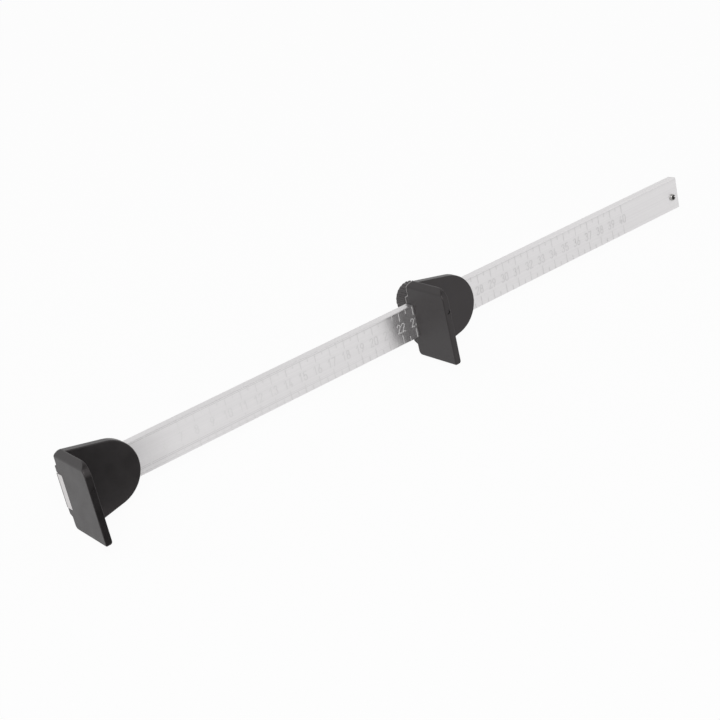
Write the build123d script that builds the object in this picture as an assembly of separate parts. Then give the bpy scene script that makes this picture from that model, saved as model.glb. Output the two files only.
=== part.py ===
from build123d import *
import math
import os

# Roofing batten gauge: a flat bar with a centimetre scale, a head fixed at its start and a
# sliding head that a thumbscrew clamps to the bar. All lengths are in millimetres.
# The tool frame has X along the bar from the fixed head's stop face, Y from the scale face to the
# back and Z across the bar from its centre line. The pieces are made there, and rest_pose then
# lays the gauge down as it rests on a table, on the toes of both heads and the rim of the knob.

# Bar
bar_length = 448.4
bar_height = 20.0
bar_thickness = 6.0
bar_edge_break = 0.3

# Slotted pin that keeps the sliding head on the bar
pin_radius = 2.0
pin_wall = 0.5
pin_slot = 0.9
pin_projection = 1.1
pin_end_break = 0.2
pin_from_end = 5.0
pin_drop = 1.6

# Stop plate of a head
stop_thickness = 3.8
stop_reach = 30.0
stop_height = 45.5
stop_rise = 1.0
stop_overhang = 3.4
stop_bevel_depth = 3.1
sole_radius = 2.2
near_corner_radius = 7.0
heel_radius = 0.8
stop_edge_radius = 0.7
stop_back_radius = 0.3
lip_setback = 0.4
lip_radius = 0.8
gate_radius = 1.3
gate_depth = 0.4
gate_height = 10.5

# Shares of the plate's shoulders above and below the guide
bevel_drop_share = 0.35
brow_share = 0.26
far_corner_share = 0.54
toe_share = 0.4

# Rounded cheek on the scale side of a head
cheek_thickness = 5.0
cheek_end_radius = 18.4
cheek_edge_radius = 0.6
head_length = 40.3

# Guide that wraps the bar behind a head's cheek
guide_side_play = 0.25
guide_back_play = 0.4
guide_cover = 0.3
guide_wall = 5.14
guide_taper = 28.5
guide_inset = 1.2
guide_end = 36.5
back_wall = 4.4

# Boss for the clamping thread
clamp_axis_x = 22.6
boss_radius = 8.5
boss_length = 8.2
boss_edge_break = 0.6
web_thickness = 2.0
web_reach = 5.0
insert_radius = 4.5
insert_length = 7.0
insert_edge_break = 0.4
thread_radius = 3.0
seat_gap = 0.02
running_gap = 0.05
shank_gap = 0.3

# Pressure pad between the clamp screw and the bar
pad_radius = 6.0
pad_thickness = 2.5
pad_side_play = 0.3
pad_travel = 2.0
pad_top_play = 0.3
pad_edge_break = 0.3
spigot_radius = 2.0
spigot_length = 1.5
spigot_end_play = 0.2

# Clamp screw and knob
knob_radius = 9.9
knob_length = 15.2
knob_gap = 0.8
knob_edge_break = 0.7
knob_dish_radius = 6.8
knob_dish_depth = 0.8
knob_ridges = 24
knob_groove_radius = 0.95
knob_groove_depth = 0.6
screw_grip = 10.0
screw_edge_break = 0.5

# Set screw that fixes the head at the bar's end
set_screw_length = 10.0
set_screw_edge_break = 0.5
dog_radius = 2.0
dog_length = 2.0
spot_depth = 1.2
spot_play = 0.1
socket_width = 3.0
socket_depth = 3.5

# Place of the sliding head in the photograph
slider_place = 229.2

# One overrun for every cut
overrun = 1.0

# Places that follow from the sizes above
stop_top = stop_rise + stop_height / 2
stop_bottom = stop_rise - stop_height / 2
channel_half = bar_height / 2 + guide_side_play
channel_depth = bar_thickness + guide_back_play
guide_root_half = channel_half + guide_wall
upper_shoulder = stop_top - guide_root_half
lower_shoulder = -stop_bottom - guide_root_half
stop_bevel_drop = upper_shoulder * bevel_drop_share
brow_radius = upper_shoulder * brow_share
far_corner_radius = upper_shoulder * far_corner_share
toe_radius = lower_shoulder * toe_share
guide_far = bar_thickness + guide_cover
wall_far = channel_depth + back_wall
boss_far = wall_far + boss_length
cheek_centre_x = head_length - cheek_end_radius
pad_far = bar_thickness + pad_thickness
pocket_far = pad_far + pad_travel + pad_top_play
knob_near = boss_far + knob_gap
knob_far = knob_near + knob_length
pin_x = bar_length - pin_from_end
set_screw_tip = bar_thickness - spot_depth


def guide_half_at(y):
    """Half the height of the guide at a distance behind the scale face."""
    return guide_root_half - (y - stop_overhang) * math.tan(math.radians(guide_taper))


def turned(start, end, *profile):
    """A round solid about the Y axis, from a closed profile of (radius, y) points."""
    outline = [(0.0, start), *profile, (0.0, end)]
    face = make_face(Polyline(*outline, close=True))
    return revolve(face, Axis.Y)


def round_rod(radius, start, end, edge_break):
    """A rod about the Y axis with both ends broken."""
    return turned(
        start,
        end,
        (radius - edge_break, start),
        (radius, start + edge_break),
        (radius, end - edge_break),
        (radius - edge_break, end),
    )


def round_hole(radius, start, end):
    """A cutter about the Y axis."""
    return turned(start, end, (radius, start), (radius, end))


def touch_point(x, z, centre_x, centre_z, radius, turn):
    """The point where a line from (x, z) touches a circle; turn is 1 above it and -1 below."""
    distance = math.hypot(centre_x - x, centre_z - z)
    heading = math.atan2(centre_z - z, centre_x - x) + turn * math.asin(radius / distance)
    run = math.sqrt(distance**2 - radius**2)
    return (x + run * math.cos(heading), z + run * math.sin(heading))


def cheek_outline(inset=0.0):
    """The cheek seen from the scale side: straight edges that run tangent into a round end."""
    radius = cheek_end_radius - inset
    top = stop_top - inset
    bottom = stop_bottom + inset
    upper = touch_point(stop_thickness, top, cheek_centre_x, stop_rise, radius, 1)
    lower = touch_point(stop_thickness, bottom, cheek_centre_x, stop_rise, radius, -1)
    start = stop_bevel_depth
    lines = [
        Polyline((start, bottom), (start, top), (stop_thickness, top), upper),
        ThreePointArc(upper, (cheek_centre_x + radius, stop_rise), lower),
        Polyline(lower, (stop_thickness, bottom), (start, bottom)),
    ]
    return Plane.XZ * make_face(Curve() + lines)


def rounded(face, u, v, radius):
    """Round the corner of a flat outline that is nearest to (u, v)."""
    corner = face.vertices().sort_by_distance((u, v, 0.0))[0]
    return fillet(corner, radius)


def stop_plate():
    """The plate that hooks over a batten."""
    outline = make_face(
        Polyline(
            (-stop_reach, stop_bottom),
            (stop_overhang, stop_bottom),
            (stop_overhang, stop_top),
            (-stop_reach, stop_top),
            close=True,
        )
    )
    outline = rounded(outline, -stop_reach, stop_top, near_corner_radius)
    outline = rounded(outline, stop_overhang, stop_top, far_corner_radius)
    outline = rounded(outline, stop_overhang, stop_bottom, toe_radius)
    outline = rounded(outline, -stop_reach, stop_bottom, heel_radius)
    plate = extrude(Plane.YZ * outline, amount=stop_thickness)
    back = plate.faces().sort_by(Axis.X)[-1]
    plate = fillet(back.edges(), stop_back_radius)
    side = make_face(
        Polyline(
            (0.0, stop_bottom),
            (stop_thickness, stop_bottom),
            (stop_thickness, stop_top),
            (stop_bevel_depth, stop_top),
            (0.0, stop_top - stop_bevel_drop),
            close=True,
        )
    )
    side = rounded(side, stop_thickness, stop_bottom, sole_radius)
    side = rounded(side, 0.0, stop_top - stop_bevel_drop, brow_radius)
    plate &= extrude(Plane.XZ * side, amount=stop_reach + guide_far, both=True)
    front = plate.faces().sort_by(Axis.X)[0]
    return fillet(front.edges().sort_by(Axis.Z)[:-1], stop_edge_radius)


def lip():
    """The guide's end beside the bar, a little behind the plate's face."""
    half = guide_half_at(guide_far)
    section = make_face(
        Polyline(
            (-cheek_thickness / 2, -guide_root_half),
            (stop_overhang, -guide_root_half),
            (guide_far, -half),
            (guide_far, half),
            (stop_overhang, guide_root_half),
            (-cheek_thickness / 2, guide_root_half),
            close=True,
        )
    )
    for side in (-half, half):
        section = rounded(section, guide_far, side, lip_radius)
    return extrude(Plane.YZ.offset(lip_setback) * section, amount=stop_thickness - lip_setback)


def cheek():
    """The flat tongue that lies along the scale face."""
    slab = extrude(cheek_outline(), amount=cheek_thickness)
    rims = slab.edges().filter_by(lambda edge: edge.bounding_box().size.Y < cheek_edge_radius)
    rims = rims.filter_by(lambda edge: edge.center().X > stop_thickness)
    return fillet(rims, cheek_edge_radius)


def guide():
    """The sleeve round the bar behind the cheek, kept inside the cheek's outline."""
    root = guide_root_half
    crest = guide_half_at(wall_far)
    section = Plane.YZ * make_face(
        Polyline(
            (-cheek_thickness / 2, -root),
            (stop_overhang, -root),
            (wall_far, -crest),
            (wall_far, crest),
            (stop_overhang, root),
            (-cheek_thickness / 2, root),
            close=True,
        )
    )
    sleeve = extrude(Plane((stop_thickness / 2, 0.0, 0.0)) * section, amount=guide_end)
    return sleeve & extrude(cheek_outline(guide_inset), amount=wall_far + overrun, both=True)


def boss():
    """The round boss behind the guide that holds the threaded insert, with a web on each side."""
    post = turned(
        channel_depth,
        boss_far,
        (boss_radius, channel_depth),
        (boss_radius, boss_far - boss_edge_break),
        (boss_radius - boss_edge_break, boss_far),
    )
    foot = boss_radius + web_reach
    web = extrude(
        make_face(
            Polyline(
                (-foot, wall_far),
                (foot, wall_far),
                (boss_radius, boss_far - web_reach),
                (-boss_radius, boss_far - web_reach),
                close=True,
            )
        ),
        amount=web_thickness / 2,
        both=True,
    )
    return Pos(clamp_axis_x, 0.0, 0.0) * (post + web)


def clamp_hole():
    """Pad pocket, clearance hole and insert seat on the clamp axis."""
    seat = round_hole(insert_radius + seat_gap, boss_far - insert_length, boss_far + overrun)
    shank = round_hole(thread_radius + shank_gap, bar_thickness, boss_far)
    pocket = round_hole(pad_radius + pad_side_play, bar_thickness, pocket_far)
    return Pos(clamp_axis_x, 0.0, 0.0) * (seat + shank + pocket)


def channel():
    """The bar's way through a head; it is open behind the stop plate."""
    size = (head_length + overrun) * 2
    return Box(size, channel_depth, channel_half * 2, align=(Align.CENTER, Align.MIN, Align.CENTER))


def gate_mark():
    """The small recess left by the moulding gate on the plate's near edge."""
    recess = round_hole(gate_radius, -stop_reach - overrun, -stop_reach + gate_depth)
    return Pos(stop_thickness / 2, 0.0, gate_height) * recess


def head():
    """One moulded head with its stop face at X = 0."""
    body = stop_plate() + lip() + cheek() + guide() + boss()
    return body - channel() - clamp_hole() - gate_mark()


def insert():
    """Threaded brass insert, drawn with a plain bore at the thread's size."""
    bush = round_rod(insert_radius, boss_far - insert_length, boss_far, insert_edge_break)
    bore = round_hole(thread_radius + running_gap, boss_far - insert_length - overrun, boss_far + overrun)
    return Pos(clamp_axis_x, 0.0, 0.0) * (bush - bore)


def scale_bar():
    """Flat aluminium bar with the pin's hole and the set screw's spot."""
    bar = Box(bar_length, bar_thickness, bar_height, align=(Align.MIN, Align.MIN, Align.CENTER))
    bar = chamfer(bar.edges().filter_by(Axis.X), bar_edge_break)
    pin_hole = Pos(pin_x, 0.0, -pin_drop) * round_hole(
        pin_radius + seat_gap, -overrun, bar_thickness + overrun
    )
    spot = Pos(clamp_axis_x, 0.0, 0.0) * round_hole(
        dog_radius + spot_play, set_screw_tip, bar_thickness + overrun
    )
    return bar - pin_hole - spot


def end_stop_pin():
    """Rolled spring pin whose slot faces the bar's free end."""
    near = -pin_projection
    far = bar_thickness + pin_projection
    tube = round_rod(pin_radius, near, far, pin_end_break)
    tube -= round_hole(pin_radius - pin_wall, near - overrun, far + overrun)
    length = far - near + overrun * 2
    slot = Box(pin_radius + overrun, length, pin_slot, align=(Align.MIN, Align.CENTER, Align.CENTER))
    return Pos(pin_x, 0.0, -pin_drop) * (tube - Pos(0.0, bar_thickness / 2, 0.0) * slot)


def set_screw():
    """Hexagon socket screw with a dog point, seated in the bar's spot."""
    shoulder = set_screw_tip + dog_length
    end = set_screw_tip + set_screw_length
    screw = turned(
        set_screw_tip,
        end,
        (dog_radius, set_screw_tip),
        (dog_radius, shoulder),
        (thread_radius - set_screw_edge_break, shoulder),
        (thread_radius, shoulder + set_screw_edge_break),
        (thread_radius, end - set_screw_edge_break),
        (thread_radius - set_screw_edge_break, end),
    )
    hexagon = Plane.XZ * RegularPolygon(socket_width / 2, 6, major_radius=False)
    socket = Pos(0.0, end + overrun, 0.0) * extrude(hexagon, amount=socket_depth + overrun)
    return Pos(clamp_axis_x, 0.0, 0.0) * (screw - socket)


def pressure_pad():
    """Disc that the clamp screw presses on the bar; the screw's spigot turns in it."""
    disc = round_rod(pad_radius, bar_thickness, pad_far, pad_edge_break)
    bore = round_hole(
        spigot_radius + running_gap, pad_far - spigot_length - spigot_end_play, pad_far + overrun
    )
    return disc - bore


def clamp_screw():
    """Threaded stud with a spigot at its tip, drawn at the thread's outer size."""
    tip = pad_far - spigot_length
    end = knob_near + screw_grip
    return turned(
        tip,
        end,
        (spigot_radius, tip),
        (spigot_radius, pad_far),
        (thread_radius - screw_edge_break, pad_far),
        (thread_radius, pad_far + screw_edge_break),
        (thread_radius, end - screw_edge_break),
        (thread_radius - screw_edge_break, end),
    )


def clamp_knob():
    """Moulded knob with lengthwise ridges, both rims broken and a dished end."""
    blank = round_rod(knob_radius, knob_near, knob_far, knob_edge_break)
    ring = PolarLocations(
        knob_radius + knob_groove_radius - knob_groove_depth, knob_ridges, 90 + 180 / knob_ridges
    )
    grooves = Sketch() + [place * Circle(knob_groove_radius) for place in ring]
    cutters = extrude(Plane.XZ.offset(-knob_far - overrun) * grooves, amount=knob_length + overrun * 2)
    dish = round_hole(knob_dish_radius, knob_far - knob_dish_depth, knob_far + overrun)
    bore = round_hole(thread_radius + seat_gap, knob_near - overrun, knob_near + screw_grip)
    return blank - cutters - dish - bore


# Rest pose: the toe of each stop plate and the knob's rim touch one flat surface
toe_y = stop_overhang - toe_radius
toe_z = stop_bottom + toe_radius
rim_run = knob_far - knob_edge_break - toe_y
rim_drop = toe_z + knob_radius
rest_tilt = math.degrees(
    math.atan2(-rim_drop, rim_run) + math.asin(toe_radius / math.hypot(rim_run, rim_drop))
)
reference = (0.0, -stop_reach / 2, 0.0)
rest_pose = Rot(X=-rest_tilt) * Pos(0.0, -reference[1], -reference[2])

at_slider = Pos(slider_place, 0.0, 0.0)
at_clamp = Pos(slider_place + clamp_axis_x, 0.0, 0.0)
nodes = {
    "scale_bar": scale_bar(),
    "end_stop_pin": end_stop_pin(),
    "fixed_head": head(),
    "fixed_head_insert": insert(),
    "fixed_head_set_screw": set_screw(),
    "sliding_head": at_slider * head(),
    "clamp_insert": at_slider * insert(),
    "pressure_pad": at_clamp * pressure_pad(),
    "clamp_screw": at_clamp * clamp_screw(),
    "clamp_knob": at_clamp * clamp_knob(),
}
os.makedirs("parts", exist_ok=True)
for name, solid in nodes.items():
    solid = rest_pose * solid
    solid.label = name
    export_step(solid, f"parts/{name}.step")
print(f"rest tilt {rest_tilt:.2f} degrees")
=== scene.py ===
import math

import bmesh
import bpy
from mathutils import Matrix, Vector


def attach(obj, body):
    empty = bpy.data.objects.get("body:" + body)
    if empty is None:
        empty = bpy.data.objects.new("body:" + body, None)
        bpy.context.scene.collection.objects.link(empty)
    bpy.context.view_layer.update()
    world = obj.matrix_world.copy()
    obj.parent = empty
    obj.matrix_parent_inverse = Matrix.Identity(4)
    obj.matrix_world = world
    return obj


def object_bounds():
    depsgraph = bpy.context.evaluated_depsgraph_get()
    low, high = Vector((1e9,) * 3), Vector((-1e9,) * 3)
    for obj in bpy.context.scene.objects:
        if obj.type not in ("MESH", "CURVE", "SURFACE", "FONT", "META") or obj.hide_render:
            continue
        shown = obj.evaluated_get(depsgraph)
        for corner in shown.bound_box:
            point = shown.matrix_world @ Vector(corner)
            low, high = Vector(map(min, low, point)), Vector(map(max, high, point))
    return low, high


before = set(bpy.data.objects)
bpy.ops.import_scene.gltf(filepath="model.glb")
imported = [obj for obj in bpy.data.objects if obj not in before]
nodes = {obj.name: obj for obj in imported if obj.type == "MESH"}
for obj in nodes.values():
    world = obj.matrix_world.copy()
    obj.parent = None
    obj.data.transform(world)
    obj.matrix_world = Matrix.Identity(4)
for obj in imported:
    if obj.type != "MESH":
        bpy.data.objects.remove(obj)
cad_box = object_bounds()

scene = bpy.context.scene

# The bar's own axes, in millimetres: X along the bar from the fixed head's stop face, Y from the
# scale face to the back, Z across the bar from its centre line. In the row frame the bar leans.
LEAN = math.radians(19.7521)
ORIGIN = Vector((0.0, -15.0, 0.0))
MM = 0.001
TO_ROW = Matrix.Scale(MM, 4) @ Matrix.Rotation(-LEAN, 4, "X") @ Matrix.Translation(-ORIGIN)

# The heads: the slider's place, the brow and bevel of the stop plate, and the guide's outline
SLIDER_PLACE = 229.2
BROW_HEIGHT = 20.82
BEVEL_SLOPE = 1.06
GUIDE_ROOT = (3.4, 15.39)
GUIDE_TAPER = 28.5
LIP_FAR = 6.3

# Camera of the photograph
CAMERA_PLACE = (-0.24885, -0.52890, 0.54302)
CAMERA_TURN = (51.415, -0.143, -38.715)
CAMERA_LENS = 79.21
CAMERA_SENSOR = 36.0

# Scale on the bar: a mark for n centimetres lies at n centimetres less the offset
CENTIMETRE = 10.0
SCALE_OFFSET = 1.7
LAST_CENTIMETRE = 40
MARK_RISE = 0.012
MARK_ROOT = 0.02
MARK_WIDTH = 0.55
MARK_END = 9.55
LONG_MARK = 5.1
SHORT_MARK = 2.3
DIGIT_WIDTH = 2.0
DIGIT_HEIGHT = 4.8
DIGIT_STROKE = 0.6
DIGIT_PITCH = 3.1

# A path whose ends lie closer than this is closed. At a sharp corner the share keeps a stroke from
# being drawn out far. Each further stroke of a figure rises by the layer step, as a share.
SAME_POINT = 1e-6
SHARPEST_SHARE = 0.35
LAYER_STEP = 0.2

# Faint rolled lines along the bar: height, and the stretch in which each fades out
HAIRLINES = ((9.1, 300.0, 500.0), (-5.6, 60.0, 240.0), (-6.5, 90.0, 260.0), (-8.6, 20.0, 160.0))
HAIRLINE_WIDTH = 0.4
HAIRLINE_SHARE = 0.45

# The stretch of the bar over which the scale's marks, faint near the fixed head, grow clear
PALER_MARKS = (60.0, 230.0)
PALER_SHARE = 0.72

# Painted shade along the back edge of the bar's end at zero: where it sets in, and where it is full
BACK_SHADE_BAND = (5.1, 5.3)

# Painted edge highlight: how far behind the stop face the painted highlight is full and has ended,
# how far inside the lip's outline it sets in and is full, and over which height the lip begins to
# show
RIM_DEPTH = (0.3, 0.7)
LIP_DEPTH = (0.6, 0.7)
LIP_INSIDE = (0.6, 0.3)
LIP_HEIGHT = (9.0, 10.0)
LIP_SHARE = 0.5
ROOT_SOFTNESS = (0.1, 0.5)

# Colours
BLACK = (0.0075, 0.007, 0.007)
KNOB_BLACK = (0.036, 0.034, 0.034)
# Pale colour of the painted highlight on the heads' far front edges
EDGE_HIGHLIGHT_PALE = (0.85, 0.82, 0.82)
BAR_TONES = ((0.80, 0.785, 0.79), (0.84, 0.825, 0.83))
BAR_CLOUD = (0.79, 0.775, 0.78)
BAR_SCRATCH = (0.55, 0.54, 0.54)
HAIRLINE_GREY = (0.45, 0.44, 0.44)
SAWN_GREY = (0.76, 0.74, 0.74)
# Dark grey of the painted shade along the back edge of the bar's end at zero
BACK_SHADE_GREY = (0.12, 0.115, 0.115)
MARK_TONES = ((0.69, 0.68, 0.68), (0.75, 0.74, 0.74))
PALER_MARK_TONE = (0.83, 0.82, 0.82)
BRASS = (0.80, 0.60, 0.28)
ZINC_STEEL = (0.62, 0.62, 0.60)
SPRING_STEEL = (0.42, 0.41, 0.40)
ACETAL = (0.75, 0.74, 0.70)
CARD_TONES = ((0.012, 0.012, 0.012), (0.02, 0.02, 0.02))
FLOOR_GREY = (0.82, 0.82, 0.82)
WHITE = (1.0, 1.0, 1.0)

# Depths of the grain, in metres
BAR_GRAIN = 0.000004
MARK_GRAIN = 0.00002
METAL_GRAIN = 0.00001
HEAD_GRAIN = 0.00003
KNOB_GRAIN = 0.00002
PAD_GRAIN = 0.00001

HEAD_ROUGHNESS = 0.37
KNOB_ROUGHNESS = 0.32
PAD_ROUGHNESS = 0.4

# Surroundings, in metres: the floor lies just under the lowest point, and the card's front edge
# just over the floor
FLOOR_DROP = 0.00002
CARD = {"left": -0.12, "right": 0.09, "near": -0.055, "far": -0.2}
CARD_LIFT = 0.001
CARD_TOP = 0.04
KEY_LAMP = {"place": (-0.35, -0.7, 1.1), "aim": (0.2, 0.0, 0.0), "size": 0.9, "power": 8.0}


def arc(x, z, rx, rz, start, end, steps=10):
    """Points along an ellipse's arc, with angles in degrees."""
    angles = [math.radians(start + (end - start) * i / steps) for i in range(steps + 1)]
    return [(x + rx * math.cos(a), z + rz * math.sin(a)) for a in angles]


def turned_half(paths):
    """A figure turned by half a turn about its middle."""
    return [[(DIGIT_WIDTH - x, DIGIT_HEIGHT - z) for x, z in path] for path in paths]


SIX = [
    arc(1.0, 1.35, 1.0, 1.35, 0, 360, 24),
    [(1.45, 4.8), (0.75, 3.4), (0.25, 2.4), (0.0, 1.35)],
]
DIGITS = {
    "0": [arc(1.0, 3.8, 1.0, 1.0, 180, 0) + arc(1.0, 1.0, 1.0, 1.0, 0, -180) + [(0.0, 3.8)]],
    "1": [[(0.2, 3.7), (1.2, 4.8), (1.2, 0.0)]],
    "2": [arc(1.0, 3.8, 1.0, 1.0, 175, -28) + [(0.0, 0.0), (2.0, 0.0)]],
    "3": [arc(0.95, 3.7, 0.95, 1.1, 160, -80) + arc(0.95, 1.3, 1.05, 1.3, 80, -160)],
    "4": [[(1.2, 4.8), (0.0, 1.3), (2.0, 1.3)], [(1.45, 2.4), (1.45, 0.0)]],
    "5": [[(1.85, 4.8), (0.25, 4.8), (0.15, 2.6)] + arc(0.95, 1.5, 1.05, 1.5, 125, -155, 14)],
    "6": SIX,
    "7": [[(0.0, 4.8), (2.0, 4.8), (0.7, 0.0)]],
    "8": [arc(1.0, 3.65, 0.85, 1.15, 0, 360, 20), arc(1.0, 1.28, 1.0, 1.28, 0, 360, 24)],
    "9": turned_half(SIX),
}


def stroke(bm, path, width, rise):
    """A mark of the scale: a thin flat band along a path of (x, z) points on the scale face."""
    closed = (Vector(path[0]) - Vector(path[-1])).length < SAME_POINT
    points = [Vector(p) for p in (path[:-1] if closed else path)]
    count = len(points)
    rings = []
    for i, here in enumerate(points):
        before = points[i - 1] if closed or i > 0 else None
        after = points[(i + 1) % count] if closed or i < count - 1 else None
        ways = []
        if before is not None:
            ways.append((here - before).normalized())
        if after is not None:
            ways.append((after - here).normalized())
        along = sum(ways, Vector((0.0, 0.0))).normalized()
        across = Vector((-along.y, along.x))
        reach = width / 2 / max(SHARPEST_SHARE, across.dot(Vector((-ways[0].y, ways[0].x))))
        cap = Vector((0.0, 0.0))
        if before is None:
            cap = -along * width / 2
        if after is None:
            cap = along * width / 2
        left = here + cap + across * reach
        right = here + cap - across * reach
        corners = ((left, -rise), (right, -rise), (right, MARK_ROOT), (left, MARK_ROOT))
        rings.append([bm.verts.new(TO_ROW @ Vector((side.x, y, side.y))) for side, y in corners])
    pairs = list(zip(rings, rings[1:]))
    if closed:
        pairs.append((rings[-1], rings[0]))
    else:
        bm.faces.new(rings[0])
        bm.faces.new(list(reversed(rings[-1])))
    for one, two in pairs:
        for k in range(len(one)):
            m = (k + 1) % len(one)
            bm.faces.new((one[k], two[k], two[m], one[m]))


def scale_marks(material):
    """Every mark and figure of the scale, as one piece that rides on the bar."""
    bm = bmesh.new()
    for half in range(2, 2 * LAST_CENTIMETRE + 1):
        x = CENTIMETRE / 2 * half - SCALE_OFFSET
        length = SHORT_MARK if half % 2 else LONG_MARK
        for side in (1.0, -1.0):
            ends = [(x, side * (MARK_END - MARK_WIDTH / 2)), (x, side * (MARK_END - length))]
            stroke(bm, ends, MARK_WIDTH, MARK_RISE)
    for centimetre in range(1, LAST_CENTIMETRE + 1):
        figures = str(centimetre)
        middle = CENTIMETRE * centimetre - SCALE_OFFSET
        for i, figure in enumerate(figures):
            x = middle + (i - (len(figures) - 1) / 2) * DIGIT_PITCH - DIGIT_WIDTH / 2
            for layer, path in enumerate(DIGITS[figure]):
                shape = [(x + px, pz - DIGIT_HEIGHT / 2) for px, pz in path]
                stroke(bm, shape, DIGIT_STROKE, MARK_RISE * (1.0 + LAYER_STEP * layer))
    bmesh.ops.recalc_face_normals(bm, faces=bm.faces)
    mesh = bpy.data.meshes.new("scale_marks")
    bm.to_mesh(mesh)
    bm.free()
    marks = bpy.data.objects.new("scale_marks", mesh)
    scene.collection.objects.link(marks)
    marks.data.materials.append(material)
    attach(marks, "bar")


# Sockets of the mix node that hold colours, which share their names with its other sockets
MIX_ONE, MIX_TWO, MIX_RESULT = 6, 7, 2


class Shader:
    """The node tree of a material, or of the world, built call by call."""

    def __init__(self, owner, output="ShaderNodeOutputMaterial"):
        owner.use_nodes = True
        self.owner = owner
        self.tree = owner.node_tree
        self.tree.nodes.clear()
        self.out = self.node(output)

    def node(self, kind, **settings):
        made = self.tree.nodes.new(kind)
        for key, value in settings.items():
            setattr(made, key, value)
        return made

    def link(self, source, target):
        self.tree.links.new(source, target)

    def upright(self, vector):
        """A vector turned into the bar's own axes, out of the lean."""
        mapping = self.node("ShaderNodeMapping")
        mapping.inputs["Rotation"].default_value = (LEAN, 0.0, 0.0)
        self.link(vector, mapping.inputs["Vector"])
        return mapping.outputs["Vector"]

    def bar_axes(self):
        """Texture coordinates along the bar's own axes, so that grain follows a leaning piece."""
        return self.upright(self.node("ShaderNodeTexCoord").outputs["Object"])

    def facing(self):
        """The surface's normal in the bar's own axes, as parts."""
        return self.parts(self.upright(self.node("ShaderNodeNewGeometry").outputs["Normal"]))

    def stretched(self, vector, scale):
        mapping = self.node("ShaderNodeMapping")
        mapping.inputs["Scale"].default_value = scale
        self.link(vector, mapping.inputs["Vector"])
        return mapping.outputs["Vector"]

    def noise(self, vector, scale, detail=2.0, roughness=0.5):
        made = self.node("ShaderNodeTexNoise")
        made.inputs["Scale"].default_value = scale
        made.inputs["Detail"].default_value = detail
        made.inputs["Roughness"].default_value = roughness
        self.link(vector, made.inputs["Vector"])
        return made.outputs["Fac"]

    def range(self, value, low, high, from_low=0.3, from_high=0.7):
        made = self.node("ShaderNodeMapRange")
        made.inputs["From Min"].default_value = from_low
        made.inputs["From Max"].default_value = from_high
        made.inputs["To Min"].default_value = low
        made.inputs["To Max"].default_value = high
        self.link(value, made.inputs["Value"])
        return made.outputs["Result"]

    def math(self, operation, one, two):
        made = self.node("ShaderNodeMath", operation=operation)
        for value, socket in ((one, made.inputs[0]), (two, made.inputs[1])):
            if isinstance(value, float):
                socket.default_value = value
            else:
                self.link(value, socket)
        return made.outputs["Value"]

    def parts(self, vector):
        made = self.node("ShaderNodeSeparateXYZ")
        self.link(vector, made.inputs["Vector"])
        return made.outputs

    def bar_place(self, axes):
        """X, Y and Z of the bar's own coordinates, as sockets, in metres."""
        place = self.parts(axes)
        return place["X"], self.math("ADD", place["Y"], ORIGIN.y * MM), place["Z"]

    def within(self, value, start, end):
        """Nought at the start and one at the end, both in millimetres."""
        return self.range(value, 0.0, 1.0, start * MM, end * MM)

    def seen_directly(self, camera_share=1.0, mirror_share=1.0):
        """A share for rays from the camera, one for mirror-like and clear surfaces, else nought."""
        path = self.node("ShaderNodeLightPath").outputs
        mirrored = self.math("MAXIMUM", path["Is Glossy Ray"], path["Is Transmission Ray"])
        camera = self.math("MULTIPLY", path["Is Camera Ray"], camera_share)
        return self.math("MAXIMUM", camera, self.math("MULTIPLY", mirrored, mirror_share))

    def surface(self, factor, one, two):
        made = self.node("ShaderNodeMixShader")
        self.link(factor, made.inputs[0])
        self.link(one, made.inputs[1])
        self.link(two, made.inputs[2])
        self.link(made.outputs[0], self.out.inputs["Surface"])

    def mix(self, factor, one, two):
        made = self.node("ShaderNodeMix", data_type="RGBA")
        self.link(factor, made.inputs["Factor"])
        for value, socket in ((one, made.inputs[MIX_ONE]), (two, made.inputs[MIX_TWO])):
            if isinstance(value, tuple):
                socket.default_value = (*value, 1.0)
            else:
                self.link(value, socket)
        return made.outputs[MIX_RESULT]

    def bump(self, height, distance, strength):
        made = self.node("ShaderNodeBump")
        made.inputs["Distance"].default_value = distance
        made.inputs["Strength"].default_value = strength
        self.link(height, made.inputs["Height"])
        return made.outputs["Normal"]

    def principled(self, **values):
        made = self.node("ShaderNodeBsdfPrincipled")
        for key, value in values.items():
            socket = made.inputs[key.replace("_", " ")]
            if isinstance(value, float):
                socket.default_value = value
            elif isinstance(value, tuple):
                socket.default_value = (*value, 1.0)
            else:
                self.link(value, socket)
        self.link(made.outputs["BSDF"], self.out.inputs["Surface"])
        return self.owner


def material(name):
    return Shader(bpy.data.materials.new(name))


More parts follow.
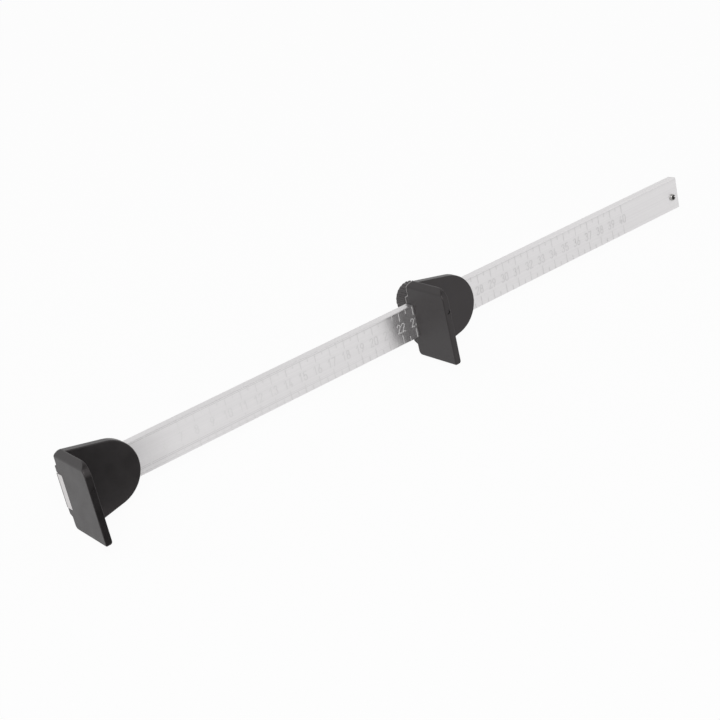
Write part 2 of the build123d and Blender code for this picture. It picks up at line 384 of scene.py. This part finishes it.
def brushed_aluminium():
    """Natural anodised flat bar with a lengthwise grain, faint scratches and dull sawn ends."""
    s = material("brushed_aluminium")
    axes = s.bar_axes()
    fine = s.noise(s.stretched(axes, (12.0, 6000.0, 6000.0)), scale=1.0, detail=3.0, roughness=0.6)
    wide = s.noise(s.stretched(axes, (6.0, 900.0, 900.0)), scale=1.0)
    cloud = s.noise(axes, scale=14.0)
    lines = s.noise(s.stretched(axes, (2.0, 1700.0, 1700.0)), scale=1.0, detail=1.0)
    facing_x = s.facing()["X"]
    sawn = s.range(s.math("ABSOLUTE", facing_x, 0.0), 0.0, 1.0, from_low=0.5, from_high=0.9)
    zero_end = s.range(facing_x, 1.0, 0.0, from_low=-0.9, from_high=-0.5)
    tone = s.mix(s.range(wide, 0.0, 1.0), *BAR_TONES)
    tone = s.mix(s.range(cloud, 0.0, 0.35), tone, BAR_CLOUD)
    tone = s.mix(s.range(lines, 0.0, 0.12, from_low=0.62, from_high=0.76), tone, BAR_SCRATCH)
    x, y, z = s.bar_place(axes)
    for height, start, end in HAIRLINES:
        off = s.math("ABSOLUTE", s.math("SUBTRACT", z, height * MM), 0.0)
        core, rim = HAIRLINE_WIDTH / 4 * MM, HAIRLINE_WIDTH / 2 * MM
        line = s.range(off, HAIRLINE_SHARE, 0.0, core, rim)
        along = s.within(x, end, start)
        tone = s.mix(s.math("MULTIPLY", line, along), tone, HAIRLINE_GREY)
    tone = s.mix(sawn, tone, SAWN_GREY)
    # Painted shade: a dark band along the back edge of the end face at zero
    painted_back_shade = s.math("MULTIPLY", zero_end, s.within(y, *BACK_SHADE_BAND))
    tone = s.mix(painted_back_shade, tone, BACK_SHADE_GREY)
    across = s.node("ShaderNodeCombineXYZ")
    across.inputs["Z"].default_value = 1.0
    return s.principled(
        Base_Color=tone,
        Metallic=0.85,
        Roughness=s.range(fine, 0.34, 0.42),
        Anisotropic=0.9,
        Tangent=across.outputs["Vector"],
        Normal=s.bump(fine, BAR_GRAIN, strength=0.5),
    )


def etched_mark():
    """The matt surface of an etched mark, paler towards the fixed head."""
    s = material("etched_mark")
    axes = s.bar_axes()
    grain = s.noise(axes, scale=5000.0)
    tone = s.mix(s.range(grain, 0.0, 1.0), *MARK_TONES)
    # The marks are painted paler towards the fixed head
    start, end = PALER_MARKS
    fade_to_pale = s.range(s.bar_place(axes)[0], PALER_SHARE, 0.0, start * MM, end * MM)
    return s.principled(
        Base_Color=s.mix(fade_to_pale, tone, PALER_MARK_TONE),
        Metallic=0.1,
        Roughness=0.7,
        Normal=s.bump(grain, MARK_GRAIN, strength=0.5),
    )


def rubbed_edges(s, axes, stop_x):
    """How much painted highlight lies on a head's far front edges: the plate's rim and the lip by
    the bar.
    """
    x, y, z = s.bar_place(axes)
    facing = s.facing()
    depth = s.math("SUBTRACT", x, stop_x * MM)
    root_y, root_z = GUIDE_ROOT
    narrow, wide = ROOT_SOFTNESS

    above_brow = s.math("MAXIMUM", s.math("SUBTRACT", z, BROW_HEIGHT * MM), 0.0)
    behind_face = s.math("SUBTRACT", depth, s.math("MULTIPLY", above_brow, BEVEL_SLOPE))
    rim = s.within(behind_face, *reversed(RIM_DEPTH))
    to_the_back = s.range(facing["Y"], 0.0, 1.0, from_low=0.05, from_high=0.2)
    rim = s.math("MULTIPLY", rim, to_the_back)
    rim = s.math("MULTIPLY", rim, s.within(z, root_z - wide, root_z + wide))

    slant = math.radians(GUIDE_TAPER)
    out = s.math("MULTIPLY", s.math("SUBTRACT", y, root_y * MM), math.sin(slant))
    up = s.math("MULTIPLY", s.math("SUBTRACT", z, root_z * MM), math.cos(slant))
    sets_in, full = LIP_INSIDE
    shoulder = s.within(s.math("ADD", out, up), -sets_in, -full)
    side = s.within(y, LIP_FAR - sets_in, LIP_FAR - full)
    lip = s.math("MULTIPLY", s.math("MAXIMUM", shoulder, side), LIP_SHARE)
    for mask in (
        s.range(facing["X"], 0.0, 1.0, from_low=-0.5, from_high=-0.8),
        s.within(depth, *reversed(LIP_DEPTH)),
        s.within(y, root_y - narrow, root_y + narrow),
        s.within(z, *LIP_HEIGHT),
    ):
        lip = s.math("MULTIPLY", lip, mask)
    return s.math("MAXIMUM", rim, lip)


def moulded_plastic(name, tone, roughness, grain_depth, highlight_from=None, highlight_share=0.0):
    """A plastic with a fine spark-eroded texture; a head's far front edges can carry a painted
    highlight.
    """
    s = material(name)
    axes = s.bar_axes()
    grain = s.noise(axes, scale=4200.0, roughness=0.6)
    patch = s.noise(axes, scale=120.0, detail=3.0)
    dark = tuple(value * 0.8 for value in tone)
    light = tuple(value * 1.25 for value in tone)
    colour = s.mix(s.range(patch, 0.0, 1.0), dark, light)
    if highlight_from is not None:
        # Painted highlight: the far front edges are painted pale by this mask
        painted_highlight = s.math("MULTIPLY", rubbed_edges(s, axes, highlight_from), highlight_share)
        colour = s.mix(painted_highlight, colour, EDGE_HIGHLIGHT_PALE)
    return s.principled(
        Base_Color=colour,
        Roughness=s.range(patch, roughness - 0.03, roughness + 0.03),
        Specular_IOR_Level=0.58,
        Specular_Tint=(1.0, 0.92, 0.94),
        Normal=s.bump(grain, grain_depth, strength=0.8),
    )


def turned_metal(name, tone, roughness):
    """A turned or ground metal part with faint rings."""
    s = material(name)
    grain = s.noise(s.stretched(s.bar_axes(), (1.0, 30.0, 1.0)), scale=900.0, detail=3.0)
    dark = tuple(value * 0.85 for value in tone)
    return s.principled(
        Base_Color=s.mix(s.range(grain, 0.0, 1.0), dark, tone),
        Metallic=1.0,
        Roughness=s.range(grain, roughness - 0.06, roughness + 0.06),
        Normal=s.bump(grain, METAL_GRAIN, strength=0.5),
    )


def flat_piece(name, corners):
    """One flat face of the surroundings."""
    bm = bmesh.new()
    bm.faces.new([bm.verts.new(corner) for corner in corners])
    mesh = bpy.data.meshes.new(name)
    bm.to_mesh(mesh)
    bm.free()
    piece = bpy.data.objects.new(name, mesh)
    scene.collection.objects.link(piece)
    return piece


def lay_floor(level, reach=6.0, camera_share=0.95, mirror_share=0.75):
    """A pale floor that looks white, keeps a faint shadow and shows more of it in reflections."""
    sides = ((-reach, -reach), (reach, -reach), (reach, reach), (-reach, reach))
    floor = flat_piece("floor", [(x, y, level) for x, y in sides])
    s = material("pale_floor")
    matt = s.node("ShaderNodeBsdfDiffuse")
    matt.inputs["Color"].default_value = (*FLOOR_GREY, 1.0)
    glow = s.node("ShaderNodeEmission")
    glow.inputs["Color"].default_value = (*WHITE, 1.0)
    lit = s.seen_directly(camera_share, mirror_share)
    s.surface(lit, matt.outputs["BSDF"], glow.outputs["Emission"])
    floor.data.materials.append(s.owner)


def stand_flag(left, right, near, far, low, high):
    """A black card in front of the fixed head, which only mirror-like surfaces see."""
    corners = [(left, near, low), (right, near, low), (right, far, high), (left, far, high)]
    card = flat_piece("flag", corners)
    s = material("black_card")
    grain = s.noise(s.bar_axes(), scale=300.0)
    card.data.materials.append(s.principled(Base_Color=s.mix(grain, *CARD_TONES), Roughness=0.9))
    card.visible_camera = False
    card.visible_diffuse = False
    card.visible_shadow = False
    card.visible_transmission = False


def surround(fill=0.45, overhead=0.2):
    """A white world: plain fill for matt surfaces, and dimmer overhead in mirror-like ones."""
    scene.world = bpy.data.worlds.new("surround")
    s = Shader(scene.world, "ShaderNodeOutputWorld")
    soft = s.node("ShaderNodeBackground")
    seen = s.node("ShaderNodeBackground")
    for light in (soft, seen):
        light.inputs["Color"].default_value = (*WHITE, 1.0)
    soft.inputs["Strength"].default_value = fill
    height = s.parts(s.node("ShaderNodeTexCoord").outputs["Generated"])["Z"]
    dim = s.range(height, 1.0, overhead, from_low=0.8, from_high=0.95)
    path = s.node("ShaderNodeLightPath").outputs
    s.link(s.math("MAXIMUM", path["Is Camera Ray"], dim), seen.inputs["Strength"])
    s.surface(s.seen_directly(), soft.outputs["Background"], seen.outputs["Background"])


def hang_lamp(name, place, aim, size, power):
    light = bpy.data.lights.new(name, "AREA")
    light.size = size
    light.energy = power
    holder = bpy.data.objects.new(name, light)
    holder.location = place
    holder.rotation_euler = (Vector(aim) - Vector(place)).to_track_quat("-Z", "Y").to_euler()
    scene.collection.objects.link(holder)


def set_camera():
    camera = bpy.data.objects.new("camera", bpy.data.cameras.new("camera"))
    camera.data.lens = CAMERA_LENS
    camera.data.sensor_width = CAMERA_SENSOR
    camera.location = CAMERA_PLACE
    camera.rotation_euler = [math.radians(angle) for angle in CAMERA_TURN]
    scene.collection.objects.link(camera)
    scene.camera = camera


brass = turned_metal("brass", BRASS, roughness=0.28)
steel = turned_metal("zinc_steel", ZINC_STEEL, roughness=0.3)
finishes = {
    "scale_bar": brushed_aluminium(),
    "end_stop_pin": turned_metal("spring_steel", SPRING_STEEL, roughness=0.3),
    # Both heads carry a painted highlight on their far front edges, faint on the fixed head
    "fixed_head": moulded_plastic(
        "black_nylon", BLACK, HEAD_ROUGHNESS, HEAD_GRAIN, highlight_from=0.0, highlight_share=0.1
    ),
    "sliding_head": moulded_plastic(
        "slider_nylon",
        BLACK,
        HEAD_ROUGHNESS,
        HEAD_GRAIN,
        highlight_from=SLIDER_PLACE,
        highlight_share=1.0,
    ),
    "fixed_head_insert": brass,
    "clamp_insert": brass,
    "fixed_head_set_screw": steel,
    "clamp_screw": steel,
    "clamp_knob": moulded_plastic("knob_nylon", KNOB_BLACK, KNOB_ROUGHNESS, KNOB_GRAIN),
    "pressure_pad": moulded_plastic("pad_acetal", ACETAL, PAD_ROUGHNESS, PAD_GRAIN),
}
for name, finish in finishes.items():
    nodes[name].data.materials.clear()
    nodes[name].data.materials.append(finish)
scale_marks(etched_mark())

floor_level = cad_box[0][2]
lay_floor(floor_level - FLOOR_DROP)
stand_flag(**CARD, low=floor_level + CARD_LIFT, high=CARD_TOP)
surround()
hang_lamp("key", **KEY_LAMP)
set_camera()
scene.view_settings.view_transform = "Standard"
